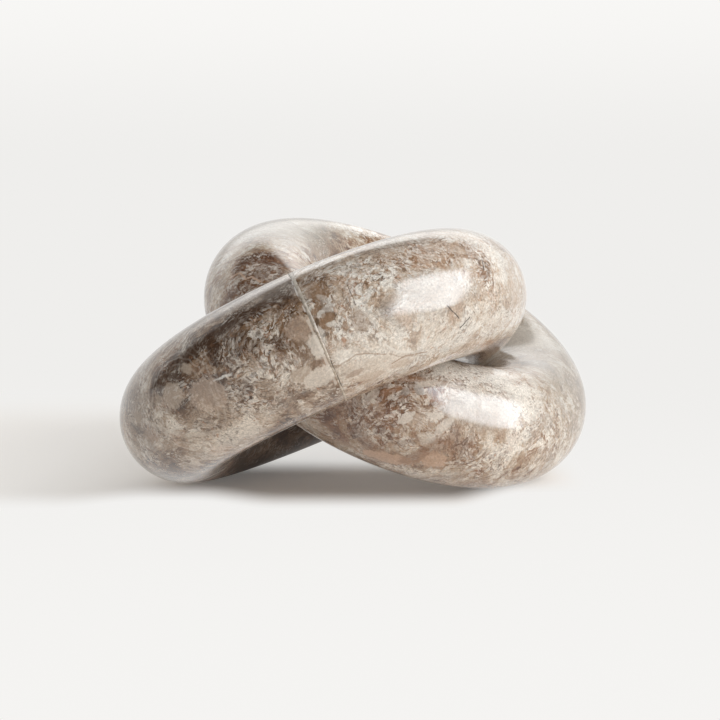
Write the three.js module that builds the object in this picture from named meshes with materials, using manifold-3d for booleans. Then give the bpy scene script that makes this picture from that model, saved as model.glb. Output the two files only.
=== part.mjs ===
// Two interlocked stone links that lean on each other.
// Millimetres, +Z up, standing surface at Z = 0, front towards -Y.
// One link is a single closed ring. The other was sawn in two so that it could be put
// through the first, and its halves are bonded again with resin in two flat seams.
import * as THREE from 'three';
import { mergeVertices } from 'three/addons/utils/BufferGeometryUtils.js';
import Module from 'manifold-3d';

const wasm = await Module();
wasm.setup();

// Stone sizes
const tubeDiameter = 40;
const jointedLinkHole = 58;
const closedLinkHole = 62;

// Bonded seams, in one plane through the jointed link's axis
const seamAzimuth = -83.5;
const resinThickness = 0.8;
const bondClearance = 0.1;

// How the links lie, in degrees: a rise lifts a link's +X side and a tip its +Y side. Each
// link's two angles are scaled until the links clear each other by linkClearance.
const jointedLinkRiseAngle = 24.8;
const jointedLinkTipAngle = -16.3;
const closedLinkRiseAngle = -23.6;
const closedLinkTipAngle = 13;
const linkClearance = 0.3;

// Room between the two near legs, along the line in which the link planes meet, and how
// far the closed link's centre lies off that line
const nearLegGap = 3;
const closedLinkShift = 0.28;

// How far round from its lowest and highest places the jointed link's crossings are
// looked for, in degrees
const crossingReachAngle = 50;

// Faces round a link and round its tube
const ringFaceCount = 72;
const tubeFaceCount = 32;

// Stone and resin colours
const warmTaupe = 0x9b8a7c;
const greyTaupe = 0x8d857d;
const lightTaupe = 0xa39588;
const paleResin = 0xc4c2bd;

const tubeRadius = tubeDiameter / 2;
const jointedLinkRadius = (jointedLinkHole + tubeDiameter) / 2;
const closedLinkRadius = (closedLinkHole + tubeDiameter) / 2;
const ringStep = (2 * Math.PI) / ringFaceCount;
const tubeStep = (2 * Math.PI) / tubeFaceCount;

// Turn that takes a level link to its slope.
function slope(rise, tip) {
  const angles = new THREE.Euler(THREE.MathUtils.degToRad(tip), THREE.MathUtils.degToRad(-rise), 0, 'YXZ');
  return new THREE.Quaternion().setFromEuler(angles);
}

// Where a sloping link is lowest: the azimuth in its own plane, and the angle round its
// tube that faces straight down.
function lowestPlace(turn) {
  const down = new THREE.Vector3(0, 0, -1).applyQuaternion(turn.clone().invert());
  const azimuth = Math.atan2(down.y, down.x);
  const tubeAngle = Math.atan2(down.z, Math.hypot(down.x, down.y));
  return { azimuth, tubeAngle };
}

// Height of a link's centre when the face at its lowest place lies on the surface.
function restHeight(ringRadius, turn) {
  const { tubeAngle } = lowestPlace(turn);
  const edgeDepths = [-0.5, 0.5].map((edge) => {
    const angle = tubeAngle + edge * tubeStep;
    const reach = (ringRadius + tubeRadius * Math.cos(angle)) * Math.cos(ringStep / 2);
    return reach * Math.cos(tubeAngle) + tubeRadius * Math.sin(angle) * Math.sin(tubeAngle);
  });
  return Math.max(...edgeDepths);
}

// Both links, each for a share of its slope. The centres are spaced along the level line
// in which the link planes meet.
function placeLinks([jointedLean, closedLean]) {
  const jointedTurn = slope(jointedLinkRiseAngle * jointedLean, jointedLinkTipAngle * jointedLean);
  const closedTurn = slope(closedLinkRiseAngle * closedLean, closedLinkTipAngle * closedLean);
  const jointedNormal = new THREE.Vector3(0, 0, 1).applyQuaternion(jointedTurn);
  const closedNormal = new THREE.Vector3(0, 0, 1).applyQuaternion(closedTurn);
  const along = jointedNormal.cross(closedNormal).setZ(0).normalize();
  const across = new THREE.Vector3(along.y, -along.x, 0);
  const spacing = tubeDiameter + nearLegGap + closedLinkRadius - jointedLinkRadius;
  const closedCentre = along.multiplyScalar(spacing).addScaledVector(across, closedLinkShift);
  closedCentre.setZ(restHeight(closedLinkRadius, closedTurn));
  const jointedCentre = new THREE.Vector3(0, 0, restHeight(jointedLinkRadius, jointedTurn));
  return { jointedTurn, jointedCentre, closedTurn, closedCentre, closedNormal };
}

// Gap between the two stones at a point of the jointed link's centreline.
function gapAt(places, azimuth) {
  const point = new THREE.Vector3(Math.cos(azimuth), Math.sin(azimuth), 0);
  point.multiplyScalar(jointedLinkRadius).applyQuaternion(places.jointedTurn);
  point.add(places.jointedCentre).sub(places.closedCentre);
  const height = point.dot(places.closedNormal);
  const reach = point.addScaledVector(places.closedNormal, -height).length();
  return Math.hypot(height, reach - closedLinkRadius) - tubeDiameter;
}

// Least gaps at the two crossings: where the jointed link carries the closed one, near
// its lowest place, and where it lies on the closed one, near its highest.
function crossingGaps(places) {
  const samples = 400;
  const reach = THREE.MathUtils.degToRad(crossingReachAngle);
  const lowAzimuth = lowestPlace(places.jointedTurn).azimuth;
  return [lowAzimuth, lowAzimuth + Math.PI].map((middle) => {
    let least = Infinity;
    for (let i = 0; i <= samples; i += 1) {
      const azimuth = THREE.MathUtils.lerp(middle - reach, middle + reach, i / samples);
      least = Math.min(least, gapAt(places, azimuth));
    }
    return least;
  });
}

// Leans the links until both gaps are the clearance, by Newton's method.
function restingLinks() {
  const leanStep = 0.005;
  const mostChange = 0.1;
  const rounds = 16;
  let leans = [1, 1];
  for (let round = 0; round < rounds; round += 1) {
    const now = crossingGaps(placeLinks(leans));
    const missing = now.map((gap) => linkClearance - gap);
    const [byJointed, byClosed] = leans.map((_, link) => {
      const leaned = leans.map((lean, i) => lean + (i === link ? leanStep : 0));
      return crossingGaps(placeLinks(leaned)).map((gap, side) => (gap - now[side]) / leanStep);
    });
    const determinant = byJointed[0] * byClosed[1] - byJointed[1] * byClosed[0];
    const changes = [
      (missing[0] * byClosed[1] - missing[1] * byClosed[0]) / determinant,
      (missing[1] * byJointed[0] - missing[0] * byJointed[1]) / determinant,
    ].map((change) => THREE.MathUtils.clamp(change, -mostChange, mostChange));
    leans = leans.map((lean, link) => lean + changes[link]);
  }
  return placeLinks(leans);
}

// A whole ring in its own plane, its axis on Z, turned so that one of its flat faces is
// centred on its lowest place.
function ringGeometry(ringRadius, turn) {
  const { azimuth, tubeAngle } = lowestPlace(turn);
  const section = [];
  for (let i = 0; i <= tubeFaceCount; i += 1) {
    const angle = tubeAngle + ((i % tubeFaceCount) + 0.5) * tubeStep;
    const reach = ringRadius + tubeRadius * Math.cos(angle);
    section.push(new THREE.Vector2(reach, tubeRadius * Math.sin(angle)));
  }
  const geometry = new THREE.LatheGeometry(section, ringFaceCount);
  geometry.rotateX(Math.PI / 2);
  geometry.rotateZ(azimuth + ringStep / 2);
  return geometry;
}

// A geometry's closed solid.
function solidOf(geometry) {
  const bare = geometry.clone();
  bare.deleteAttribute('normal');
  bare.deleteAttribute('uv');
  const merged = mergeVertices(bare);
  return new wasm.Manifold(new wasm.Mesh({
    numProp: 3,
    vertProperties: new Float32Array(merged.attributes.position.array),
    triVerts: new Uint32Array(merged.index.array),
  }));
}

// A solid's geometry, with flat faces.
function geometryOf(solid) {
  const { vertProperties, triVerts } = solid.getMesh();
  const geometry = new THREE.BufferGeometry();
  geometry.setAttribute('position', new THREE.BufferAttribute(vertProperties, 3));
  geometry.setIndex(new THREE.BufferAttribute(triVerts, 1));
  const flat = geometry.toNonIndexed();
  flat.computeVertexNormals();
  return flat;
}

// The part of the jointed link between two distances along the seam plane and two
// distances square to it, both from the link's axis.
function cutRing(ring, fromAlong, toAlong, fromSquare, toSquare) {
  const height = 2 * tubeDiameter;
  const block = new THREE.BoxGeometry(toAlong - fromAlong, toSquare - fromSquare, height);
  block.translate((fromAlong + toAlong) / 2, (fromSquare + toSquare) / 2, 0);
  block.rotateZ(THREE.MathUtils.degToRad(seamAzimuth));
  return geometryOf(ring.intersect(solidOf(block)));
}

function stonePiece(name, geometry, color) {
  const material = new THREE.MeshStandardMaterial({ color, roughness: 0.22, metalness: 0 });
  const mesh = new THREE.Mesh(geometry, material);
  mesh.name = name;
  return mesh;
}

function resinSeam(name, geometry) {
  const material = new THREE.MeshStandardMaterial({ color: paleResin, roughness: 0.35, metalness: 0 });
  const mesh = new THREE.Mesh(geometry, material);
  mesh.name = name;
  return mesh;
}

const rest = restingLinks();

function jointedLink() {
  const ring = solidOf(ringGeometry(jointedLinkRadius, rest.jointedTurn));
  const outside = jointedLinkHole + 2 * tubeDiameter;
  const resinFace = resinThickness / 2;
  const sawnFace = resinFace + bondClearance;
  const link = new THREE.Group();
  link.add(
    stonePiece(
      'jointed_link_right_half',
      cutRing(ring, -outside, outside, sawnFace, outside),
      lightTaupe,
    ),
    stonePiece(
      'jointed_link_left_half',
      cutRing(ring, -outside, outside, -outside, -sawnFace),
      greyTaupe,
    ),
    resinSeam('resin_seam_front', cutRing(ring, 0, outside, -resinFace, resinFace)),
    resinSeam('resin_seam_back', cutRing(ring, -outside, 0, -resinFace, resinFace)),
  );
  link.quaternion.copy(rest.jointedTurn);
  link.position.copy(rest.jointedCentre);
  return link;
}

function closedLink() {
  const link = new THREE.Group();
  link.add(stonePiece('closed_link', ringGeometry(closedLinkRadius, rest.closedTurn), warmTaupe));
  link.quaternion.copy(rest.closedTurn);
  link.position.copy(rest.closedCentre);
  return link;
}

// The sculpture, its origin on the surface under the middle of its outline.
const sculpture = new THREE.Group();
sculpture.add(jointedLink(), closedLink());
sculpture.updateMatrixWorld(true);
const middle = new THREE.Box3().setFromObject(sculpture, true).getCenter(new THREE.Vector3());
sculpture.position.set(-middle.x, -middle.y, 0);

export default sculpture;
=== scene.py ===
import math

import bmesh
import bpy
from mathutils import Euler, Matrix, Vector


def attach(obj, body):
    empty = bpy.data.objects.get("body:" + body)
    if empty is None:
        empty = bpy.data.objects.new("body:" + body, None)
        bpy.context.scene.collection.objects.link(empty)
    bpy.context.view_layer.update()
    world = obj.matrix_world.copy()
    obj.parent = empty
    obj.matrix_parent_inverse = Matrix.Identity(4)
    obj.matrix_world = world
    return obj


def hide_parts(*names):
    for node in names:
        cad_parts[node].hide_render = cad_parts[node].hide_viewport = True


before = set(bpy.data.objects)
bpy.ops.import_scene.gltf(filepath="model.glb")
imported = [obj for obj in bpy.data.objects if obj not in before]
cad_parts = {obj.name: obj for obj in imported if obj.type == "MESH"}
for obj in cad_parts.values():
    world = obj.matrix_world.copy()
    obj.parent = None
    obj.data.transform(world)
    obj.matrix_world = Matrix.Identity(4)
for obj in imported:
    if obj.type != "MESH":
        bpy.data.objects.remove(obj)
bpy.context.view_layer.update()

MM = 0.001

# Camera

CAMERA_PLACE = (-2.10 * MM, -421.62 * MM, 114.23 * MM)
CAMERA_DIP = math.radians(9.946)
CAMERA_LENS = 63.03
CAMERA_SENSOR = 36.0
CAMERA_CLIP = (0.01, 20.0)

scene = bpy.context.scene
scene.view_settings.view_transform = "Standard"

camera_data = bpy.data.cameras.new("camera")
camera_data.lens = CAMERA_LENS
camera_data.sensor_width = CAMERA_SENSOR
camera_data.clip_start, camera_data.clip_end = CAMERA_CLIP
camera = bpy.data.objects.new("camera", camera_data)
camera.location = CAMERA_PLACE
camera.rotation_euler = (math.pi / 2 - CAMERA_DIP, 0.0, 0.0)
scene.collection.objects.link(camera)
scene.camera = camera

# The two rings: place and radius in millimetres, and the turn that lays each to its slope

TUBE_RADIUS = 19.9
# The seams, and the front one again after a full turn
FRONT_AZIMUTH = math.radians(-83.5)
BACK_AZIMUTH = FRONT_AZIMUTH + math.pi
FULL_AZIMUTH = FRONT_AZIMUTH + 2 * math.pi

JOINTED = {
    "place": Vector((-13.2816, -20.2628, 43.9289)),
    "turn": Euler((math.radians(-16.3032), math.radians(-24.8048), 0.0)),
    "radius": 49.0,
}
CLOSED = {
    "place": Vector((11.1743, 17.5127, 42.8487)),
    "turn": Euler((math.radians(13.0028), math.radians(23.6051), 0.0)),
    "radius": 51.0,
}

# Mesh steps round a whole ring, round its tube and through a seam
AROUND = 360
ACROSS = 144
SEAM_STEPS = 2


def ring_matrix(ring):
    place = Matrix.Translation(ring["place"] * MM)
    return place @ ring["turn"].to_matrix().to_4x4()


def tube_point(ring, azimuth, angle, radius=TUBE_RADIUS):
    """A point on the tube in ring-local millimetres. azimuth and tube angle are in radians."""
    reach = ring["radius"] + radius * math.cos(angle)
    return Vector((reach * math.cos(azimuth), reach * math.sin(azimuth), radius * math.sin(angle)))


def new_piece(name, bm, matrix, material, body, nodes):
    """A mesh in ring-local millimetres becomes a piece that stands for CAD nodes."""
    for vert in bm.verts:
        vert.co = matrix @ (vert.co * MM)
        vert.co.z = max(vert.co.z, 0.0)
    bmesh.ops.recalc_face_normals(bm, faces=bm.faces)
    mesh = bpy.data.meshes.new(name)
    bm.to_mesh(mesh)
    bm.free()
    for polygon in mesh.polygons:
        polygon.use_smooth = True
    mesh.materials.append(material)
    piece = bpy.data.objects.new(name, mesh)
    scene.collection.objects.link(piece)
    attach(piece, body)
    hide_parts(*nodes)
    return piece


def tube_row(bm, ring, radius, azimuth_at):
    """Vertices round the tube, each at the azimuth that azimuth_at gives for its tube angle."""
    angles = [2 * math.pi * j / ACROSS for j in range(ACROSS)]
    return [bm.verts.new(tube_point(ring, azimuth_at(angle), angle, radius)) for angle in angles]


def join_rows(bm, here, there):
    """Faces between two rows of vertices round the tube."""
    for j in range(ACROSS):
        k = (j + 1) % ACROSS
        bm.faces.new((here[j], there[j], there[k], here[k]))


def full_ring(ring):
    """A whole ring's closed mesh."""
    bm = bmesh.new()
    azimuths = [2 * math.pi * i / AROUND for i in range(AROUND)]
    rows = [tube_row(bm, ring, TUBE_RADIUS, lambda _: azimuth) for azimuth in azimuths]
    for here, there in zip(rows, rows[1:] + rows[:1]):
        join_rows(bm, here, there)
    return bm


def seam_angle(ring, angle, square, radius):
    """Azimuth past the seam at which a tube line is `square` millimetres from its plane."""
    reach = ring["radius"] + radius * math.cos(angle)
    return math.asin(square / reach)


def ring_slice(ring, start, stop, steps, start_square, stop_square, inset):
    """A closed length of the ring between two flat, slightly rounded cuts.

    start_square and stop_square give each cut's distance from the seam plane, in
    millimetres, at a tube angle. inset lists points from the stone's surface to the
    middle of the cut: (tube radius drop, distance to the cut).
    """
    def from_start(angle, radius, back):
        return start + seam_angle(ring, angle, start_square(angle) + back, radius)

    def from_stop(angle, radius, back):
        return stop - seam_angle(ring, angle, stop_square(angle) + back, radius)

    def between(angle, share):
        back = inset[0][1]
        low = from_start(angle, TUBE_RADIUS, back)
        high = from_stop(angle, TUBE_RADIUS, back)
        return low + (high - low) * share

    bm = bmesh.new()
    rows = []
    for drop, back in reversed(inset):
        radius = TUBE_RADIUS - drop
        rows.append(tube_row(bm, ring, radius, lambda angle: from_start(angle, radius, back)))
    for i in range(1, steps):
        rows.append(tube_row(bm, ring, TUBE_RADIUS, lambda angle: between(angle, i / steps)))
    for drop, back in inset:
        radius = TUBE_RADIUS - drop
        rows.append(tube_row(bm, ring, radius, lambda angle: from_stop(angle, radius, back)))
    for here, there in zip(rows, rows[1:]):
        join_rows(bm, here, there)
    bm.faces.new(rows[0][::-1])
    bm.faces.new(rows[-1])
    return bm


# Material helpers


class Graph:
    """Short ways to add shader nodes to one node tree."""

    def __init__(self, tree):
        self.tree = tree

    def add(self, kind, inputs=None, **settings):
        node = self.tree.nodes.new(kind)
        for key, value in settings.items():
            setattr(node, key, value)
        for key, value in (inputs or {}).items():
            socket = node.inputs[key]
            if isinstance(value, bpy.types.NodeSocket):
                self.tree.links.new(value, socket)
            else:
                socket.default_value = value
        return node

    def math(self, operation, a, b=0.0, c=0.0, clamp=False):
        node = self.add("ShaderNodeMath", {0: a, 1: b, 2: c}, operation=operation, use_clamp=clamp)
        return node.outputs[0]

    def product(self, first, *others):
        for other in others:
            first = self.math("MULTIPLY", first, other)
        return first

    def swing(self, level, strength, base):
        """base, raised or lowered by how far a noise level is from its middle."""
        return self.math("MULTIPLY_ADD", self.math("SUBTRACT", level, 0.5), strength, base)

    def vector(self, operation, a, b=(0.0, 0.0, 0.0), scale=1.0):
        inputs = {0: a, "Scale": scale} if operation == "SCALE" else {0: a, 1: b}
        node = self.add("ShaderNodeVectorMath", inputs, operation=operation)
        return node.outputs["Value" if operation in ("LENGTH", "DOT_PRODUCT", "DISTANCE") else 0]

    def smooth(self, value, low, high, to_low=0.0, to_high=1.0):
        """A smooth step from to_low, where value is low, to to_high, where it is high."""
        node = self.add(
            "ShaderNodeMapRange",
            {"Value": value, "From Min": low, "From Max": high, "To Min": to_low, "To Max": to_high},
            interpolation_type="SMOOTHSTEP",
        )
        return node.outputs[0]

    def mix(self, share, a, b, blend="MIX"):
        inputs = {0: share}
        for index, value in ((6, a), (7, b)):
            inputs[index] = value if isinstance(value, bpy.types.NodeSocket) else (*value, 1.0)
        node = self.add("ShaderNodeMix", inputs, data_type="RGBA", blend_type=blend, clamp_factor=True)
        return node.outputs[2]

    def ramp(self, value, stops, interpolation="LINEAR"):
        node = self.add("ShaderNodeValToRGB", {0: value})
        band = node.color_ramp
        band.interpolation = interpolation
        while len(band.elements) < len(stops):
            band.elements.new(0.5)
        for element, (position, colour) in zip(band.elements, stops):
            element.position = position
            element.color = (*colour, 1.0)
        return node.outputs[0]

    def noise(self, place, size, detail=2.0, roughness=0.5, colour=False):
        """Noise whose forms are about size across."""
        node = self.add(
            "ShaderNodeTexNoise",
            {"Vector": place, "Scale": 1 / size, "Detail": detail, "Roughness": roughness},
        )
        return node.outputs["Color" if colour else 0]

    def cells(self, place, size):
        """Three random levels for each of many angular cells about size across."""
        node = self.add("ShaderNodeTexVoronoi", {"Vector": place, "Scale": 1 / size})
        return self.add("ShaderNodeSeparateColor", {0: node.outputs["Color"]}).outputs

    def warp(self, place, size, reach):
        """place pushed about by noise, by up to about reach."""
        centred = self.vector("SUBTRACT", self.noise(place, size, colour=True), (0.5, 0.5, 0.5))
        push = self.vector("SCALE", centred, scale=2.0 * reach)
        return self.vector("ADD", place, push)


def srgb(red, green, blue):
    def linear(level):
        share = level / 255
        return share / 12.92 if share <= 0.04045 else ((share + 0.055) / 1.055) ** 2.4

    return (linear(red), linear(green), linear(blue))


def new_material(name):
    material = bpy.data.materials.new(name)
    material.use_nodes = True
    tree = material.node_tree
    tree.nodes.clear()
    graph = Graph(tree)
    output = graph.add("ShaderNodeOutputMaterial")
    return material, graph, output


# Marble. Sizes and places are in ring-local millimetres.

STONE_IOR = 1.58
# How many times longer than wide the streaks along a ring are
STREAK_STRETCH = 4.5
# The stone's tone at which each shade is full
TONES = [(0.22, "dark"), (0.36, "brown"), (0.50, "middle"), (0.64, "light"), (0.82, "cream")]
# How far the clouds, the ground and the small fragments raise or lower the tone
CLOUD_SWING = 0.75
GROUND_SWING = 0.8
SMALL_SWING = 0.42
# Change of tone of the big fragments, from the random level at which each starts
BIG_TONES = [(0.0, (-0.13,) * 3), (0.3, (0.0,) * 3), (0.72, (0.14,) * 3)]
# Agate lines: radians of wave per unit of noise, and share of cover
AGATE_TURNS = 170.0
AGATE_SHARE = 0.2
# Shift of the rusty specks' noise against the other noises
SPECK_SHIFT = (31.0, 7.0, 19.0)
# Turn of the splinters in radians, and the scale that draws them out along one way
SPLINTER_TURN = (0.5, 0.9, 0.6)
SPLINTER_SCALE = (0.34, 1.5, 1.5)
# Darkest and brightest grain
GRAIN_RANGE = (0.83, 1.17)
# Swirled bands: radians of wave per millimetre from the mark, and wobble in radians
CONTOUR_TURNS = 3.4
CONTOUR_WOBBLE = 11.0
# Ragged edge of a mark: share of its half width, and the half width up to which that share is full
FRAY = 1.5
FRAYED_WIDTH = 3.0
# Roughness over the darker and over the paler ground
POLISH_ROUGHNESS = (0.07, 0.13)
PIT_STRENGTH = 0.25
PIT_DEPTH = 0.15 * MM


def ring_place(g, ring):
    """The surface point in the ring's own frame, in millimetres."""
    coordinates = g.add("ShaderNodeTexCoord").outputs["Object"]
    mapped = g.add(
        "ShaderNodeMapping",
        {"Vector": coordinates, "Location": ring["place"] * MM, "Rotation": ring["turn"], "Scale": (MM,) * 3},
        vector_type="TEXTURE",
    )
    return mapped.outputs[0]


def oval_distance(g, place, ring, oval):
    """Distance from the middle of an oval mark on the tube: 1 at its edge.

    oval is the mark's azimuth, tube angle and turn in degrees, and its half length and
    half width.
    """
    azimuth, angle, turn = (math.radians(value) for value in oval[:3])
    long, wide = oval[3:]
    deep = 2.0 * max(long, wide) + 2.0
    middle = tube_point(ring, azimuth, angle)
    outward = (middle - ring["radius"] * Vector((math.cos(azimuth), math.sin(azimuth), 0.0))).normalized()
    around = Vector((-math.sin(azimuth), math.cos(azimuth), 0.0))
    across = outward.cross(around)
    first = around * math.cos(turn) + across * math.sin(turn)
    second = outward.cross(first)
    axes = Matrix((first, second, outward)).transposed()
    mapped = g.add(
        "ShaderNodeMapping",
        {"Vector": place, "Location": middle, "Rotation": axes.to_euler(), "Scale": (long, wide, deep)},
        vector_type="TEXTURE",
    )
    return g.vector("LENGTH", mapped.outputs[0])


def line_distance(g, place, ring, points):
    """Distance from a line drawn on the tube through (azimuth, angle) points, in degrees."""
    nearest = None
    ends = [tube_point(ring, math.radians(azimuth), math.radians(angle)) for azimuth, angle in points]
    for start, stop in zip(ends, ends[1:]):
        span = stop - start
        offset = g.vector("SUBTRACT", place, start)
        share = g.math("DIVIDE", g.vector("DOT_PRODUCT", offset, span), span.length_squared, clamp=True)
        distance = g.vector("DISTANCE", offset, g.vector("SCALE", span, scale=share))
        nearest = distance if nearest is None else g.math("MINIMUM", nearest, distance)
    return nearest


def ring_streaks(g, place, ring):
    """Coordinates drawn out along the ring, for streaks that follow it."""
    x, y, z = g.add("ShaderNodeSeparateXYZ", {0: place}).outputs
    along = g.product(g.math("ARCTAN2", y, x), ring["radius"] / STREAK_STRETCH)
    outward = g.math("SQRT", g.math("ADD", g.product(x, x), g.product(y, y)))
    return g.add("ShaderNodeCombineXYZ", {0: along, 1: outward, 2: z}).outputs[0]


def marble(name, ring, seed, palette, streaks, flakes, zones, broken, spots, lines, bands=(),
           contours=(), dull=()):
    """A polished marble on one ring.

    seed moves the noises, streaks is the cover of the streaks along the ring, and flakes
    is the size of the flakes. The comments over the lists below say what each mark holds.
    """
    material, g, output = new_material(name)
    local = ring_place(g, ring)
    marked = g.warp(g.warp(local, 5.0, 0.9), 1.4, 0.32)
    place = g.vector("ADD", local, seed)
    swirled = g.warp(place, 22.0, 7.0)
    ragged = g.warp(swirled, 5.0, 1.7)
    crumbled = g.warp(ragged, 1.5, 0.55)

    def lay(colour, *layers):
        """colour with each (cover, shade) laid over it in turn."""
        for cover, shade in layers:
            colour = g.mix(cover, colour, palette[shade])
        return colour

    # Tone: broad clouds and a crumbly ground, darker or paler in some stretches
    ground = g.noise(ragged, 4.2, 5.0, 0.64)
    tone = g.swing(g.noise(swirled, 17.0), CLOUD_SWING, 0.5)
    tone = g.swing(ground, GROUND_SWING, tone)
    for *oval, shift in zones:
        distance = oval_distance(g, marked, ring, oval)
        tone = g.math("ADD", tone, g.smooth(distance, 1.5, 0.5, 0.0, shift))
    band_place = g.warp(g.warp(local, 6.0, 1.8), 1.6, 0.9)
    for points, width, shift in bands:
        distance = line_distance(g, band_place, ring, points)
        tone = g.math("ADD", tone, g.smooth(distance, width, 0.35 * width, 0.0, shift))

    # Angular fragments of two sizes, each of one tone
    big_tone = g.ramp(g.cells(crumbled, 9.0)[0], BIG_TONES, "CONSTANT")
    tone = g.math("ADD", tone, big_tone)
    small = g.cells(g.vector("MULTIPLY", crumbled, (1.0, 1.5, 1.25)), 2.6)
    small_room = g.smooth(g.noise(swirled, 8.0), 0.47, 0.56)
    small_tone = g.product(g.math("SUBTRACT", small[0], 0.45), small_room)
    tone = g.math("MULTIPLY_ADD", small_tone, SMALL_SWING, tone)
    colour = g.ramp(tone, [(level, palette[shade]) for level, shade in TONES])

    # Cooler and rustier stretches
    hue = g.add("ShaderNodeSeparateColor", {0: g.noise(swirled, 11.0, 4.0, 0.6, colour=True)}).outputs
    colour = lay(
        colour,
        (g.smooth(hue[0], 0.5, 0.64, 0.0, 0.4), "cool"),
        (g.smooth(hue[1], 0.54, 0.66, 0.0, 0.28), "rust"),
    )

    # Wavy agate lines, in patches
    agate = g.math("SINE", g.product(g.noise(swirled, 10.0, 3.0, 0.55), AGATE_TURNS))
    agate_room = g.smooth(g.noise(place, 13.0), 0.5, 0.6)
    colour = lay(
        colour,
        (g.product(g.smooth(agate, 0.45, 0.95, 0.0, AGATE_SHARE), agate_room), "cream"),
        (g.product(g.smooth(agate, -0.55, -0.95, 0.0, AGATE_SHARE), agate_room), "dark"),
    )

    # Streaks that follow the ring
    streak = g.noise(ring_streaks(g, g.warp(local, 7.0, 1.6), ring), 1.15, 4.0, 0.6)
    colour = lay(
        colour,
        (g.smooth(streak, 0.56, 0.68, 0.0, streaks), "cream"),
        (g.smooth(streak, 0.44, 0.32, 0.0, streaks), "brown"),
    )

    # Pale and dark crumbs, and rusty specks
    crumb = g.noise(crumbled, 1.1, 4.0, 0.72)
    bit = g.cells(g.vector("MULTIPLY", g.warp(ragged, 0.9, 0.25), (1.0, 1.5, 1.3)), 0.85)
    pale_bit = g.smooth(bit[0], 0.76, 0.80, 0.0, 0.6)
    dark_bit = g.smooth(bit[1], 0.80, 0.84, 0.0, 0.5)
    pale_crumb = g.math("MAXIMUM", g.smooth(crumb, 0.57, 0.61, 0.0, 0.5), pale_bit)
    dark_crumb = g.math("MAXIMUM", g.smooth(crumb, 0.43, 0.39, 0.0, 0.6), dark_bit)
    pale_room = g.smooth(g.noise(place, 6.0, 3.0), 0.44, 0.6)
    dark_room = g.smooth(g.noise(swirled, 9.0, 3.0), 0.56, 0.42)
    speck = g.noise(g.vector("ADD", ragged, SPECK_SHIFT), 1.2, 3.0, 0.6)
    colour = lay(
        colour,
        (g.product(pale_crumb, pale_room), "cream"),
        (g.product(dark_crumb, dark_room), "dark"),
        (g.smooth(speck, 0.64, 0.69, 0.0, 0.7), "rust"),
    )

    # Stretches broken up into small crisp flakes and splinters
    flake = g.cells(g.vector("MULTIPLY", crumbled, (1.0, 1.7, 1.4)), flakes)
    tilted = g.add("ShaderNodeMapping", {"Vector": crumbled, "Rotation": SPLINTER_TURN}).outputs[0]
    splinter = g.cells(g.vector("MULTIPLY", tilted, SPLINTER_SCALE), flakes)
    flake_room = g.smooth(g.noise(place, 11.0, 3.0), 0.58, 0.68, 0.0, 0.6)
    for oval in broken:
        distance = oval_distance(g, marked, ring, oval)
        flake_room = g.math("MAXIMUM", flake_room, g.smooth(distance, 1.4, 0.6))
    patch = g.smooth(g.noise(ragged, 4.0, 3.0, 0.6), 0.40, 0.56, 0.25, 1.0)
    flake_room = g.product(flake_room, patch)
    for level, low, high, shade, share in (
        (splinter[0], 0.70, 0.73, "cream", 0.75),
        (splinter[1], 0.78, 0.81, "brown", 0.75),
        (flake[0], 0.77, 0.80, "cream", 0.75),
        (flake[1], 0.20, 0.17, "dark", 0.6),
        (flake[2], 0.86, 0.89, "rust", 0.45),
        (crumb, 0.54, 0.57, "white", 0.45),
        (crumb, 0.42, 0.39, "dark", 0.6),
    ):
        colour = lay(colour, (g.product(g.smooth(level, low, high, 0.0, share), flake_room), shade))

    # Fine crinkled veins
    fold = g.math("ABSOLUTE", g.math("SUBTRACT", g.noise(ragged, 7.0, 4.0, 0.55), 0.5))
    fold_room = g.smooth(g.noise(place, 9.0), 0.48, 0.58)
    colour = lay(colour, (g.product(g.smooth(fold, 0.009, 0.003, 0.0, 0.65), fold_room), "brown"))

    # Fine grain, half of it under the marks and half over them
    grain = g.smooth(g.noise(place, 0.6, 3.0, 0.75), 0.25, 0.75, *GRAIN_RANGE)
    grain_colour = g.add("ShaderNodeCombineColor", {0: grain, 1: grain, 2: grain}).outputs[0]
    colour = g.mix(1.0, colour, grain_colour, "MULTIPLY")

    # Swirled bands round a mark
    for azimuth, angle, inner, outer, shade, share in contours:
        distance = oval_distance(g, local, ring, (azimuth, angle, 0.0, 1.0, 1.0))
        wobble = g.noise(swirled, 5.0, 3.0, 0.6)
        bent = g.math("MULTIPLY_ADD", wobble, CONTOUR_WOBBLE, g.product(distance, CONTOUR_TURNS))
        wave = g.smooth(g.math("SINE", bent), 0.3, 0.95)
        room = g.product(g.smooth(distance, inner, inner + 2), g.smooth(distance, outer, outer - 5))
        colour = lay(colour, (g.product(wave, room, share), shade))

    # Marks that stand out, each an oval with a ragged edge
    fray = g.math("MULTIPLY_ADD", g.noise(local, 1.3, 4.0, 0.65), FRAY, -FRAY / 2)
    for *oval, shade, share, softness in spots:
        distance = oval_distance(g, marked, ring, oval)
        edge = g.math("MULTIPLY_ADD", fray, min(1.0, FRAYED_WIDTH / oval[4]), distance)
        colour = lay(colour, (g.smooth(edge, 1.0 + softness, 1.0 - softness, 0.0, share), shade))

    colour = g.mix(1.0, colour, grain_colour, "MULTIPLY")

    # Lines and cracks
    pits = g.smooth(g.noise(ragged, 0.9, 4.0, 0.65), 0.34, 0.26)
    line_place = g.warp(local, 1.6, 0.28)
    for points, width, shade, share in lines:
        distance = line_distance(g, line_place, ring, points)
        cover = g.smooth(distance, width, 0.45 * width, 0.0, share)
        colour = lay(colour, (cover, shade))
        if shade == "crack":
            pits = g.math("MAXIMUM", pits, cover)

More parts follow.
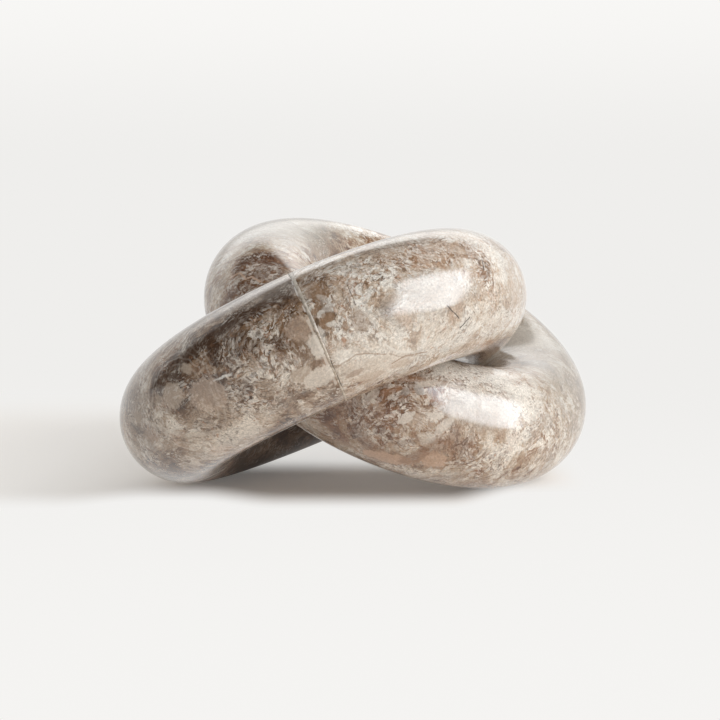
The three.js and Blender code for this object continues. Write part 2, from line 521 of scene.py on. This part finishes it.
    polish = g.smooth(ground, 0.3, 0.7, *POLISH_ROUGHNESS)
    for *oval, roughness in dull:
        distance = oval_distance(g, marked, ring, oval)
        polish = g.math("MAXIMUM", polish, g.smooth(distance, 1.3, 0.7, 0.0, roughness))
    bump = g.add(
        "ShaderNodeBump", {"Strength": PIT_STRENGTH, "Distance": PIT_DEPTH, "Height": pits}, invert=True
    )
    shader = g.add(
        "ShaderNodeBsdfPrincipled",
        {"Base Color": colour, "Roughness": polish, "Normal": bump.outputs[0], "IOR": STONE_IOR},
    )
    g.tree.links.new(shader.outputs[0], output.inputs[0])
    return material


# Shades of the closed link and of the jointed link's right and left halves
WARM = {
    "dark": srgb(86, 56, 38),
    "brown": srgb(129, 97, 72),
    "middle": srgb(160, 139, 118),
    "light": srgb(187, 173, 157),
    "cream": srgb(212, 206, 197),
    "cool": srgb(156, 151, 145),
    "rust": srgb(148, 112, 87),
    "haze": srgb(146, 143, 135),
    "grey": srgb(168, 160, 150),
    "pink": srgb(192, 164, 142),
    "white": srgb(222, 219, 212),
}
LIGHT = {
    "dark": srgb(90, 67, 49),
    "brown": srgb(135, 110, 88),
    "middle": srgb(169, 150, 131),
    "light": srgb(190, 179, 166),
    "cream": srgb(211, 207, 200),
    "cool": srgb(162, 157, 150),
    "rust": srgb(158, 116, 86),
    "grey": srgb(170, 163, 153),
    "white": srgb(220, 217, 210),
    "crack": srgb(58, 47, 39),
}
GREY = {
    "dark": srgb(67, 46, 31),
    "brown": srgb(113, 88, 66),
    "middle": srgb(148, 130, 112),
    "light": srgb(178, 164, 149),
    "cream": srgb(207, 200, 190),
    "cool": srgb(142, 134, 127),
    "rust": srgb(156, 116, 88),
    "pink": srgb(186, 166, 149),
    "white": srgb(214, 212, 208),
}

# Zones: azimuth, tube angle and turn in degrees, half length and half width in
# millimetres, change of tone
LEFT_ZONES = [
    (-120, 0, 0, 45, 40, -0.10),
    (-95, 20, 0, 10, 5, 0.10),
    (-118, -2, 0, 16, 13, -0.14),
    (-88, 28, 80, 5, 3, -0.15),
    (-99, -5, 0, 12, 14, -0.10),
    (-88, -28, 80, 12, 6, 0.10),
    (-112, -54, -6, 14, 4.5, 0.18),
    (-92, -38, 0, 7, 6, 0.12),
    (-127, -42, 0, 17, 8, 0.18),
    (-125, -68, 0, 17, 7, 0.22),
    (-128, -20, 0, 11, 7, 0.05),
    # Painted shade: the far leg's underside, darkened where shade falls under the link
    (140, -115, 0, 36, 14, -0.32),
]
RIGHT_ZONES = [
    (-15, 0, 0, 24, 40, 0.06),
    (-50, 28, -9, 17, 4.6, -0.02),
    (-66, 16, -9, 12, 9, 0.08),
    (-80, 38, -10, 5, 5, -0.20),
    (-37, 5, 9, 6, 4.4, -0.14),
    (-78, 20, -39, 7, 6.5, -0.16),
    (-80, 3, 80, 5, 3, -0.22),
    (-68, -6, 87, 6, 6, -0.10),
    (-60, -35, -8, 20, 12, 0.16),
    (-70, -54, -8, 16, 5.5, 0.12),
    (-80, -31, -17, 4, 3, 0.12),
    # Painted shade: the right end's underside, where it rests against the closed link
    (-8, -92, 0, 13, 8, -0.50),
    (-34, 1, 84, 9, 3.6, -0.2),
    (-24, -16, 84, 10, 4, 0.1),
    (75, -110, 0, 34, 14, -0.20),
]
CLOSED_ZONES = [
    (-88, 40, 40, 13, 8, -0.26),
    (-95, 5, 11, 15, 12, -0.16),
    (-99, -13, 0, 7, 6, -0.12),
    (-72, 3, 20, 10, 5, -0.04),
    (-80, -32, 16, 18, 5, 0.12),
    (-40, 20, 0, 20, 22, 0.10),
    (-58, 10, 0, 8, 10, 0.10),
    (-60, 78, 0, 18, 9, 0.42),
    (-77, 69, 0, 8, 4.5, 0.3),
    (2, 90, 0, 34, 20, -0.06),
    # Painted shade: darker where the closed link meets the jointed link's end
    (-18, 116, 0, 7, 8, -0.25),
    (-153, 57, 68, 8, 7, -0.36),
    (-146, 30, 67, 7, 5, -0.42),
    (-143, 56, 0, 8, 6, -0.30),
    (165, 60, 0, 36, 20, -0.14),
    (-160, 0, 0, 12, 12, -0.05),
    (-53, 10, 0, 8, 6, 0.08),
    (-85, 22, 20, 11, 8, 0.06),
    (126, 94, 6, 12, 8, 0.14),
]

# Broken stretches: azimuth, tube angle and turn in degrees, half length and half width in
# millimetres
LEFT_BROKEN = [(-96, 0, 0, 10, 12), (-104, -30, 0, 8, 6)]
RIGHT_BROKEN = [(-79, 8, 0, 6, 12), (-45, 26, -9, 16, 7), (-64, 22, -9, 12, 7), (-34, 1, 84, 10, 5)]
CLOSED_BROKEN = [
    (-88, 24, 20, 16, 14),
    (-62, -10, 0, 8, 6),
    (-72, 62, 10, 12, 6),
    (-38, 32, 0, 12, 9),
    (-148, 46, 68, 10, 8),
]

# Marks: azimuth, tube angle and turn in degrees, half length and half width in
# millimetres, shade, share of cover, softness of the edge
LEFT_SPOTS = [
    (-88, -5, 0, 3.4, 1.5, "brown", 0.6, 0.2),
    (-91, -31, -20, 3.6, 2.2, "light", 0.75, 0.12),
    (-87.2, -40, 10, 4.6, 3.0, "cream", 0.7, 0.15),
    (-85.2, -15, 86, 3.6, 1.8, "cream", 0.75, 0.2),
    (-87, 3, -24, 4.0, 3.2, "pink", 0.45, 0.2),
    (-86.6, -27, 20, 1.5, 1.1, "brown", 0.75, 0.2),
    (-123.3, 2, 21, 4.0, 3.8, "light", 0.6, 0.1),
    (-113.9, -12, -21, 6.0, 5.0, "pink", 0.5, 0.1),
    (-116.3, 16, -29, 2.3, 1.6, "light", 0.7, 0.2),
    (-139.7, 4.5, -10, 2.6, 1.7, "middle", 0.8, 0.15),
    (-138, -16, -25, 3.7, 2.1, "rust", 0.25, 0.6),
    (-124.7, -64, -16, 3.7, 2.6, "rust", 0.25, 0.6),
    # Painted glint: a short bright streak on the stone
    (-107.7, -5.2, -7, 2.8, 0.45, "white", 0.8, 0.4),
    # Painted shade: the far leg's underside, darkened where shade falls under the link
    (140, -115, 0, 36, 14, "dark", 0.4, 0.4),
    (-140, 20, 0, 12, 14, "cool", 0.3, 0.5),
    (-105, 66, -8, 28, 6, "cool", 0.5, 0.4),
]
RIGHT_SPOTS = [
    (-79.9, 27, -39, 3.9, 3.2, "brown", 0.6, 0.25),
    (-81.2, 3, 86, 4.3, 2.2, "brown", 0.7, 0.2),
    (-80.2, 7, 0, 1.6, 1.2, "dark", 0.7, 0.2),
    (-66.8, -8, 87, 2.9, 2.4, "dark", 0.4, 0.4),
    (-73.6, -9, -81, 3.4, 2.5, "brown", 0.5, 0.35),
    (-73.5, -53, -11, 13, 3.8, "light", 0.5, 0.2),
    (-80.3, -31, -17, 3.0, 1.9, "white", 0.5, 0.25),
    (-79, -50, 4, 2.6, 1.0, "brown", 0.75, 0.15),
    (-75, -60, -8, 4.6, 1.7, "middle", 0.75, 0.12),
    (-66, -61, -6, 4.0, 1.4, "middle", 0.7, 0.15),
    # Painted to suit the window's highlight: an even patch under it that smooths the highlight
    (-53, -9, -6, 12.6, 6.0, "grey", 0.6, 0.4),
    (-83.0, -9, 86, 2.2, 1.0, "cream", 0.6, 0.25),
    (-79.2, 18, -60, 2.4, 0.8, "cream", 0.35, 0.3),
    (-79.0, 9, 10, 1.6, 1.1, "cream", 0.4, 0.3),
    (-47, 27, -9, 18, 5, "rust", 0.18, 0.5),
    (-81.0, 6, 30, 1.3, 1.0, "white", 0.6, 0.2),
    (-80.0, -3.5, 0, 1.3, 0.8, "white", 0.6, 0.2),
    (-79.8, 2.5, 0, 1.7, 1.5, "brown", 0.7, 0.15),
    (-82.6, 1.5, 80, 1.2, 0.5, "crack", 0.6, 0.3),
    (-82.0, -9.5, 10, 1.2, 0.5, "crack", 0.5, 0.3),
    (-78.8, -19, 80, 0.9, 0.6, "rust", 0.8, 0.3),
    (-77.3, -10, 80, 1.5, 0.8, "brown", 0.7, 0.2),
    # Painted shade: the right end's underside, where it rests against the closed link
    (-8, -92, 0, 12, 7, "dark", 0.5, 0.4),
    (-69, -47, -8, 20, 7, "white", 0.2, 0.5),
    (-19, -12, 80, 16, 9, "cool", 0.25, 0.5),
    (-42, 56, -6, 26, 6, "cool", 0.4, 0.4),
    (-48, -50, -8, 18, 8, "cool", 0.15, 0.5),
]
CLOSED_SPOTS = [
    (-80.5, 27, 33, 8.2, 2.4, "cream", 0.25, 0.5),
    (-85.5, -29, 14, 9.6, 3.4, "brown", 0.5, 0.25),
    (-85.5, -29, 14, 8.6, 2.6, "pink", 0.85, 0.1),
    (-75, -12, 10, 5.6, 4.0, "brown", 0.4, 0.25),
    (-75, -12, 10, 4.7, 3.2, "pink", 0.75, 0.1),
    (-79.5, -16, 60, 5.0, 2.2, "brown", 0.55, 0.25),
    (-75.5, 3, 40, 5.5, 3.0, "brown", 0.4, 0.3),
    (-85.3, 45, -46, 1.8, 1.5, "cool", 0.8, 0.15),
    (-88.5, 38, 53, 1.2, 1.2, "cool", 0.7, 0.2),
    (-96, 22, 75, 3.2, 1.3, "cream", 0.5, 0.3),
    (-86, 17, 50, 3.2, 1.5, "cream", 0.75, 0.15),
    (-79, 29, 15, 2.6, 1.1, "cream", 0.8, 0.15),
    (-76, 22, 55, 4.6, 1.5, "cream", 0.65, 0.2),
    (-79, 6, 30, 3.0, 2.0, "cream", 0.45, 0.35),
    (-84, 52, 30, 5.0, 1.0, "cream", 0.55, 0.3),
    (-92, 34, 40, 4.0, 0.9, "rust", 0.6, 0.3),
    (-89, 50, 25, 5.0, 1.0, "rust", 0.5, 0.3),
    # Painted to suit the window's highlight: an even patch under it that smooths the highlight
    (-65.5, 44, 0, 12.0, 5.6, "grey", 0.6, 0.4),
    (160, 74, 0, 34, 16, "haze", 0.76, 0.5),
    (-148, 42, 68, 10, 8, "brown", 0.25, 0.5),
    (-86, 18, 20, 18, 13, "rust", 0.1, 0.5),
    (2, 84, 0, 38, 24, "haze", 0.64, 0.5),
    # Painted light: a paler patch where the jointed link's shadow falls, to lighten that shadow
    (14, 118, 0, 10, 8, "cream", 0.4, 0.5),
]

# Bands: (azimuth, tube angle) points, half width in millimetres, change of tone
LEFT_BANDS = [
    ([(-85, 43), (-92, 37), (-98, 34), (-108, 31), (-118, 26), (-127, 17)], 3.6, -0.62),
    ([(-92, 37), (-98, 34), (-108, 31), (-118, 26)], 2.2, -0.25),
]

# Lines: (azimuth, tube angle) points, half width in millimetres, shade, share of cover
LEFT_LINES = [
    ([(-84.1, 50), (-84.2, 34), (-84.2, 14)], 0.35, "white", 0.55),
    ([(-84.4, 6), (-84.5, -12), (-84.3, -28), (-84.4, -52)], 0.6, "cream", 0.55),
    ([(-93, 37), (-98, 34), (-108, 31), (-116, 27)], 2.3, "dark", 0.6),
    ([(-122, 23), (-127, 15)], 2.2, "dark", 0.45),
    ([(-137.5, -2), (-131, -20), (-126, -34), (-118, -44)], 1.1, "cream", 0.3),
    ([(-133, 12), (-131, -2), (-127, -14)], 0.4, "cream", 0.25),
]
RIGHT_LINES = [
    ([(-83.4, -35), (-82.2, -36.5), (-79.6, -36), (-77.4, -34), (-75, -36), (-70, -44)], 0.35, "brown", 0.5),
    ([(-69, -45), (-65, -54), (-61, -57), (-56.9, -63.1)], 0.3, "brown", 0.35),
    ([(-50.8, -23.0), (-49.4, -29), (-48.7, -31.1), (-47.4, -36.0)], 0.26, "crack", 0.9),
    ([(-46.6, -44.8), (-43.4, -38.3)], 0.26, "crack", 0.9),
    ([(-72.8, 21.2), (-72.9, 12.6), (-73.1, 3.1)], 0.22, "crack", 0.6),
    ([(-55.9, 36.4), (-53.3, 28.3), (-50.6, 19.5)], 0.25, "white", 0.4),
    ([(-33.8, 4.7), (-35.0, -2.0)], 0.3, "crack", 0.85),
    ([(-69.7, -35.1), (-66.9, -45.8), (-62.4, -51.8)], 0.45, "cream", 0.8),
    ([(-68.6, -56.0), (-64.7, -52.9), (-57.5, -57.9)], 0.3, "brown", 0.7),
    ([(-66, 48), (-58, 46), (-50, 40), (-44, 34)], 0.3, "dark", 0.5),
]
CLOSED_LINES = [
    ([(-153.9, 29), (-153.2, 38.7), (-148.7, 40.5), (-148.5, 45.8), (-144.4, 49.5)], 0.5, "pink", 0.7),
    ([(-69, 17), (-70, 11), (-72, 5)], 0.35, "dark", 0.6),
    ([(-83, 66), (-79, 70), (-77, 64), (-78, 56)], 0.3, "cream", 0.7),
]

# Swirled bands round a mark: its azimuth and tube angle, the inner and outer distance in
# millimetres, shade, share of cover
LEFT_CONTOURS = [(-122, -6, 9, 19, "cream", 0.22), (-140, 4.5, 2, 9, "dark", 0.45)]
# Dull stretches: azimuth, tube angle and turn in degrees, half length and half width in
# millimetres, roughness
LEFT_DULL = [(145, -110, 0, 42, 16, 0.5)]

closed_marble = marble(
    "closed_link_marble", CLOSED, (0.0, 0.0, 0.0), WARM, streaks=0.14, flakes=1.6,
    zones=CLOSED_ZONES, broken=CLOSED_BROKEN, spots=CLOSED_SPOTS, lines=CLOSED_LINES,
)
left_marble = marble(
    "left_half_marble", JOINTED, (211.0, -87.0, 43.0), GREY, streaks=0.2, flakes=1.05,
    zones=LEFT_ZONES, broken=LEFT_BROKEN, spots=LEFT_SPOTS, lines=LEFT_LINES, bands=LEFT_BANDS,
    contours=LEFT_CONTOURS, dull=LEFT_DULL,
)
right_marble = marble(
    "right_half_marble", JOINTED, (-133.0, 64.0, 170.0), LIGHT, streaks=0.3, flakes=1.2,
    zones=RIGHT_ZONES, broken=RIGHT_BROKEN, spots=RIGHT_SPOTS, lines=RIGHT_LINES,
)

# Resin: cloud levels and colours, greyer on the link's upper side and creamier on its lower
UPPER_RESIN = [(0.32, srgb(132, 122, 111)), (0.5, srgb(168, 159, 148)), (0.68, srgb(200, 192, 182))]
LOWER_RESIN = [(0.36, srgb(142, 128, 112)), (0.5, srgb(182, 170, 155)), (0.66, srgb(212, 203, 191))]
# Heights in the ring between which the first gives way to the second
RESIN_CHANGE = (2.0, -4.0)
RESIN_ROUGHNESS = (0.25, 0.4)
RESIN_IOR = 1.52


def resin():
    material, g, output = new_material("seam_resin")
    local = ring_place(g, JOINTED)
    cloud = g.noise(local, 1.5, 5.0, 0.7)
    height = g.add("ShaderNodeSeparateXYZ", {0: local}).outputs["Z"]
    colour = g.mix(g.smooth(height, *RESIN_CHANGE), g.ramp(cloud, UPPER_RESIN), g.ramp(cloud, LOWER_RESIN))
    shine = g.smooth(cloud, 0.3, 0.7, *RESIN_ROUGHNESS)
    shader = g.add("ShaderNodeBsdfPrincipled", {"Base Color": colour, "Roughness": shine, "IOR": RESIN_IOR})
    g.tree.links.new(shader.outputs[0], output.inputs[0])
    return material


seam_resin = resin()

# Pieces. Edges are points from the round surface to the middle of a cut: drop in tube
# radius and distance to the cut, in millimetres.

CUT_EDGE = [(0.0, 0.05), (0.015, 0.015), (0.05, 0.0), (6.0, 0.0), (13.0, 0.0)]
RESIN_EDGE = [(0.02, 0.0), (8.0, 0.0), (14.0, 0.0)]
# Distance of the back seam's sawn faces from the seam plane, and the gap between resin
# and stone
BACK_CUT = 0.4
RESIN_GAP = 0.03
# Tube angle and half length in radians of the two stretches along which the bond has come
# away from the right stone, and how much wider the gap is there
OPEN_STRETCHES = [(math.radians(-33.5), math.radians(5)), (math.radians(-51), math.radians(8))]
OPEN_GAP = 0.17


def wavy(angle, middle, *waves):
    """middle and a sine for each (reach, turns, phase), at a tube angle."""
    return sum((reach * math.sin(turns * angle + phase) for reach, turns, phase in waves), middle)


# Distance of each face of a seam from the seam plane, in millimetres. The resin's run the
# other way.


def sawn_right(angle):
    return wavy(angle, 0.42, (0.14, 1, 0), (0.035, 5, 1), (0.025, 13, 0))


def sawn_left(angle):
    return wavy(angle, 0.52, (0.2, 1, 0), (0.045, 4, 2), (0.03, 11, 1))


def sawn_back(_):
    return BACK_CUT


def resin_left(angle):
    return RESIN_GAP - sawn_left(angle)


def resin_right(angle):
    signed = (angle + math.pi) % (2 * math.pi) - math.pi
    gap = max(math.exp(-((signed - middle) / half) ** 4) for middle, half in OPEN_STRETCHES)
    return RESIN_GAP - sawn_right(angle) + OPEN_GAP * gap


def resin_back(_):
    return RESIN_GAP - BACK_CUT


new_piece(
    "closed_link_stone",
    full_ring(CLOSED),
    ring_matrix(CLOSED),
    closed_marble,
    "closed_link",
    ["closed_link"],
)

jointed_matrix = ring_matrix(JOINTED)
new_piece(
    "jointed_link_right_stone",
    ring_slice(JOINTED, FRONT_AZIMUTH, BACK_AZIMUTH, AROUND // 2, sawn_right, sawn_back, CUT_EDGE),
    jointed_matrix,
    right_marble,
    "jointed_link",
    ["jointed_link_right_half"],
)
new_piece(
    "jointed_link_left_stone",
    ring_slice(JOINTED, BACK_AZIMUTH, FULL_AZIMUTH, AROUND // 2, sawn_back, sawn_left, CUT_EDGE),
    jointed_matrix,
    left_marble,
    "jointed_link",
    ["jointed_link_left_half"],
)
new_piece(
    "resin_seam_front_bond",
    ring_slice(JOINTED, FRONT_AZIMUTH, FRONT_AZIMUTH, SEAM_STEPS, resin_left, resin_right, RESIN_EDGE),
    jointed_matrix,
    seam_resin,
    "jointed_link",
    ["resin_seam_front"],
)
new_piece(
    "resin_seam_back_bond",
    ring_slice(JOINTED, BACK_AZIMUTH, BACK_AZIMUTH, SEAM_STEPS, resin_back, resin_back, RESIN_EDGE),
    jointed_matrix,
    seam_resin,
    "jointed_link",
    ["resin_seam_back"],
)

# Floor. Its places are in metres from the middle of the outline.

BACKDROP = srgb(239, 238, 236)
NEAR_FLOOR = srgb(245, 244, 242)
HIGH_BACKDROP = srgb(248, 247, 245)
MATTE_FLOOR = srgb(234, 230, 225)
# Painted bounce light: the floor's warmer colour under the stones
PAINTED_BOUNCE_FLOOR = srgb(245, 232, 218)
FLOOR_REACH = 6.0
FLOOR_ROUGHNESS = 0.7
FLOOR_SPECULAR = 0.1
# Where the paler floor in front starts and is full: Y, and distance from the middle
NEAR_FLOOR_Y = (0.2, -0.25)
NEAR_FLOOR_REACH = (1.4, 0.5)
# Painted bounce light, a warmer floor under the stones: where it starts and is full, along X and Y
PAINTED_BOUNCE_X = (-0.078, -0.05)
PAINTED_BOUNCE_Y = (0.045, 0.015)
# Where the shadow starts and is full, from its front, back, left and right
SHADOW_FRONT = (-0.042, -0.019)
SHADOW_BACK = (0.14, 0.07)
SHADOW_LEFT = (-0.32, -0.13)
SHADOW_RIGHT = (0.076, 0.046)
SHADOW_SHARE = 0.9
# The shadow that runs out to the left is a little weaker: start and end along X, shares
OUTER_SHADOW = (-0.12, -0.06, 0.7, 1.0)
# The front edge curves back towards the two places where the links rest: start and end
# along X, and depth of each curve; where the left one dies away along X
LEFT_CURVE = (-0.028, -0.056, 0.0, 0.009)
LEFT_CURVE_END = (-0.10, -0.07)
RIGHT_CURVE = (0.026, 0.052, 0.0, 0.018)
# Painted light behind the links' low ends: there the even backdrop takes the place of part of
# the floor's shadow. Start and end along Y and X, and share of the shadow that it takes away
PAINTED_LIGHT_Y = (0.0, 0.024)
PAINTED_LIGHT_X = (-0.068, -0.045)
PAINTED_LIGHT_SHARE = 0.68


def shadow_area(g, x, y):
    """Share of the matte floor that the camera sees at a place: none outside the shadow."""
    left_curve = g.product(g.smooth(x, *LEFT_CURVE), g.smooth(x, *LEFT_CURVE_END))
    curve = g.math("ADD", left_curve, g.smooth(x, *RIGHT_CURVE))
    front = g.smooth(g.math("SUBTRACT", y, curve), *SHADOW_FRONT)
    # Painted light: the shadow is partly hidden behind the links' low ends
    painted_light = g.product(g.smooth(y, *PAINTED_LIGHT_Y), g.smooth(x, *PAINTED_LIGHT_X))
    shadow_kept = g.math("MULTIPLY_ADD", painted_light, -PAINTED_LIGHT_SHARE, 1.0)
    depth = g.product(front, g.smooth(y, *SHADOW_BACK), shadow_kept)
    width = g.product(g.smooth(x, *SHADOW_LEFT), g.smooth(x, *OUTER_SHADOW), g.smooth(x, *SHADOW_RIGHT))
    return g.product(depth, width, SHADOW_SHARE)


def floor_surface():
    """The floor's material.

    Light falls on a matte floor. Outside the object's shadow the camera and the stone's
    polish see an even pale backdrop in its place. The shadow lies under the object and
    runs out to the left.
    """
    material, g, output = new_material("floor")
    place = g.add("ShaderNodeTexCoord").outputs["Object"]
    x, y, _ = g.add("ShaderNodeSeparateXYZ", {0: place}).outputs
    # The floor under the stones is painted warmer, as painted bounce light off the stones
    painted_bounce = g.product(g.smooth(x, *PAINTED_BOUNCE_X), g.smooth(y, *PAINTED_BOUNCE_Y))
    matte = g.add(
        "ShaderNodeBsdfPrincipled",
        {"Base Color": g.mix(painted_bounce, MATTE_FLOOR, PAINTED_BOUNCE_FLOOR), "Roughness": FLOOR_ROUGHNESS,
         "Specular IOR Level": FLOOR_SPECULAR},
    )
    near = g.product(g.smooth(y, *NEAR_FLOOR_Y), g.smooth(g.vector("LENGTH", place), *NEAR_FLOOR_REACH))
    plain = g.add("ShaderNodeEmission", {"Color": g.mix(near, BACKDROP, NEAR_FLOOR), "Strength": 1.0})
    path = g.add("ShaderNodeLightPath").outputs
    seen = g.math("MAXIMUM", path["Is Camera Ray"], path["Is Glossy Ray"])
    plain_share = g.product(g.math("SUBTRACT", 1.0, shadow_area(g, x, y)), seen)
    surface = g.add("ShaderNodeMixShader", {0: plain_share, 1: matte.outputs[0], 2: plain.outputs[0]})
    g.tree.links.new(surface.outputs[0], output.inputs[0])
    return material


floor_mesh = bpy.data.meshes.new("floor")
floor_mesh.from_pydata(
    [(-FLOOR_REACH, -FLOOR_REACH, 0), (FLOOR_REACH, -FLOOR_REACH, 0),
     (FLOOR_REACH, FLOOR_REACH, 0), (-FLOOR_REACH, FLOOR_REACH, 0)],
    [],
    [(0, 1, 2, 3)],
)
floor_mesh.materials.append(floor_surface())
floor = bpy.data.objects.new("floor", floor_mesh)
scene.collection.objects.link(floor)

# Surroundings. A height is a direction's Z, and directions are unit vectors.

RIGHT_SIDE = (0.342, 0.940, 0.0)
MIDDLE = (-0.09, 0.996, 0.0)
# A pale backdrop up to about 38 degrees, from the left round to the right
BACKDROP_TOP = (0.66, 0.58)
BACKDROP_SIDE = (-0.05, 0.1)
BACKDROP_LEVEL = 0.95
# The backdrop's brighter part, high up in the middle
BRIGHT_HEIGHT = (0.2, 0.45)
BRIGHT_SIDE = (0.62, 0.88)
BRIGHT_LEVEL = 1.35
# The room in front, and the level all round
FRONT_SIDE = (0.1, -0.3)
FRONT_TOP = (0.55, 0.15)
FRONT_LEVEL = 0.35
ROOM_LEVEL = 0.1
# Soft light from the room and its ceiling, brighter at the back, that shows in no reflection
CEILING_HEIGHT = (0.45, 0.66)
CEILING_SIDE = (-0.5, 0.4, 0.3, 0.85)
CEILING_LEVEL = 1.25
SOFT_FRONT_LEVEL = 0.45
# Heights between which the backdrop grows paler
PALER_HEIGHT = (-0.02, 0.12)


def surroundings():
    world = bpy.data.worlds.new("surroundings")
    world.use_nodes = True
    world.node_tree.nodes.clear()
    g = Graph(world.node_tree)
    direction = g.add("ShaderNodeTexCoord").outputs["Generated"]
    _, y, height = g.add("ShaderNodeSeparateXYZ", {0: direction}).outputs
    rightward = g.vector("DOT_PRODUCT", direction, RIGHT_SIDE)
    backdrop = g.product(g.smooth(height, *BACKDROP_TOP), g.smooth(rightward, *BACKDROP_SIDE))
    towards_middle = g.smooth(g.vector("DOT_PRODUCT", direction, MIDDLE), *BRIGHT_SIDE)
    bright = g.product(g.smooth(height, *BRIGHT_HEIGHT), towards_middle)
    level = g.product(backdrop, g.math("MULTIPLY_ADD", bright, BRIGHT_LEVEL, BACKDROP_LEVEL))
    front = g.product(g.smooth(y, *FRONT_SIDE), g.smooth(height, *FRONT_TOP))
    room = g.math("ADD", level, g.math("MULTIPLY_ADD", front, FRONT_LEVEL, ROOM_LEVEL))
    ceiling = g.product(g.smooth(height, *CEILING_HEIGHT), g.smooth(rightward, *CEILING_SIDE))
    soft = g.math("MULTIPLY_ADD", ceiling, CEILING_LEVEL, g.product(front, SOFT_FRONT_LEVEL))
    path = g.add("ShaderNodeLightPath").outputs
    room = g.math("MULTIPLY_ADD", soft, path["Is Diffuse Ray"], room)
    strength = g.add(
        "ShaderNodeMix", {0: path["Is Camera Ray"], 2: room, 3: 1.0}, data_type="FLOAT", clamp_factor=True
    ).outputs[0]
    colour = g.mix(g.smooth(height, *PALER_HEIGHT), BACKDROP, HIGH_BACKDROP)
    sky = g.add("ShaderNodeBackground", {"Color": colour, "Strength": strength})
    output = g.add("ShaderNodeOutputWorld")
    g.tree.links.new(sky.outputs[0], output.inputs[0])
    return world


scene.world = surroundings()

# Lamps

LAMP_AIM = Vector((0.02, -0.05, 0.055))
GLEAM_COLOUR = (0.93, 0.99, 1.06)
GLEAM_INNER = 0.55


def area_lamp(name, azimuth, elevation, distance, width, tall, power, glossy=True, diffuse=True, roll=0.0):
    """A soft box that faces the object. azimuth runs from +Y towards +X; angles are in degrees."""
    data = bpy.data.lights.new(name, "AREA")
    data.shape = "RECTANGLE"
    data.size = width
    data.size_y = tall
    data.energy = power
    lamp = bpy.data.objects.new(name, data)
    flat = math.cos(math.radians(elevation))
    towards = Vector((
        flat * math.sin(math.radians(azimuth)),
        flat * math.cos(math.radians(azimuth)),
        math.sin(math.radians(elevation)),
    ))
    lamp.location = LAMP_AIM + towards * distance
    facing = (-towards).to_track_quat("-Z", "Y").to_matrix()
    lamp.rotation_euler = (facing @ Matrix.Rotation(math.radians(roll), 3, "Z")).to_euler()
    lamp.visible_camera = False
    lamp.visible_glossy = glossy
    lamp.visible_diffuse = diffuse
    scene.collection.objects.link(lamp)
    return lamp


def fade_edges(lamp, inner):
    """Makes a soft box fade from full strength at a share of its half size to nothing at its edge."""
    lamp.data.use_nodes = True
    lamp.data.node_tree.nodes.clear()
    g = Graph(lamp.data.node_tree)
    place = g.add("ShaderNodeSeparateXYZ", {0: g.add("ShaderNodeNewGeometry").outputs["Parametric"]})
    fades = []
    for axis in (0, 1):
        off_middle = g.math("ABSOLUTE", g.math("MULTIPLY_ADD", place.outputs[axis], 2.0, -1.0))
        fades.append(g.smooth(off_middle, 1.0, inner))
    light = g.add("ShaderNodeEmission", {"Strength": g.product(*fades)})
    output = g.add("ShaderNodeOutputLight")
    g.tree.links.new(light.outputs[0], output.inputs[0])


area_lamp(
    "window", azimuth=106.0, elevation=25.0, distance=3.0, width=2.5, tall=2.4, power=75.0, glossy=False
)
gleam = area_lamp(
    "window_gleam", azimuth=110.0, elevation=24.5, distance=2.7, width=2.95, tall=2.95, power=190.0,
    diffuse=False, roll=-26.0,
)
gleam.data.color = GLEAM_COLOUR
fade_edges(gleam, GLEAM_INNER)
